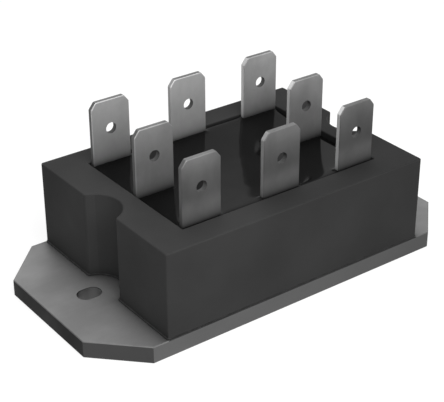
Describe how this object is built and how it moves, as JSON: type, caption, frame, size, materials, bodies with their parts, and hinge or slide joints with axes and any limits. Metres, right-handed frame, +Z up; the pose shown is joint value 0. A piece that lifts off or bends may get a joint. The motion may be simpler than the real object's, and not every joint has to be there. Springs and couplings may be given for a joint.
{
  "type": "thyristor module",
  "caption": "Flat metal base plate with a slot at each end and a black potted housing with upright blade terminals, for phase-controlled rectifying of mains current.",
  "frame": {"origin": "middle of the underside of the base plate", "axes": "+X along the length of the base plate, +Y across it, +Z up out of the plate along the blade terminals"},
  "size_m": [0.0636, 0.0324, 0.0254],
  "materials": {
    "plate_metal": "satin rolled plate",
    "housing_plastic": "fine matt black moulding",
    "potting_resin": "glossy black cast resin",
    "silicone_gel": "soft clear gel",
    "adhesive": "black silicone adhesive",
    "tinned_brass": "satin tin plate on brass",
    "solder": "dull solder",
    "copper": "bare copper",
    "alumina": "matt white alumina",
    "silicon": "dark metallised silicon",
    "wire_aluminium": "bright drawn wire"
  },
  "bodies": {
    "root": {"ac_terminal_1": "tinned_brass", "ac_terminal_1_solder": "solder", "ac_terminal_2": "tinned_brass", "ac_terminal_2_solder": "solder", "ac_track_1": "copper", "ac_track_2": "copper", "base_plate": "plate_metal", "board_solder": "solder", "cathode_clip_1": "copper", "cathode_clip_2": "copper", "cathode_clip_3": "copper", "cathode_clip_4": "copper", "ceramic_board": "alumina", "chip_solder_1": "solder", "chip_solder_2": "solder", "chip_solder_3": "solder", "chip_solder_4": "solder", "gate_pad_1": "copper", "gate_pad_2": "copper", "gate_pad_3": "copper", "gate_pad_4": "copper", "gate_terminal_1": "tinned_brass", "gate_terminal_1_solder": "solder", "gate_terminal_2": "tinned_brass", "gate_terminal_2_solder": "solder", "gate_terminal_3": "tinned_brass", "gate_terminal_3_solder": "solder", "gate_terminal_4": "tinned_brass", "gate_terminal_4_solder": "solder", "gate_wire_1": "wire_aluminium", "gate_wire_2": "wire_aluminium", "gate_wire_3": "wire_aluminium", "gate_wire_4": "wire_aluminium", "housing": "housing_plastic", "housing_adhesive": "adhesive", "lower_copper": "copper", "negative_terminal": "tinned_brass", "negative_terminal_solder": "solder", "negative_track": "copper", "positive_terminal": "tinned_brass", "positive_terminal_solder": "solder", "positive_track": "copper", "potting_resin": "potting_resin", "silicone_gel": "silicone_gel", "thyristor_chip_1": "silicon", "thyristor_chip_2": "silicon", "thyristor_chip_3": "silicon", "thyristor_chip_4": "silicon"}
  },
  "joints": []
}
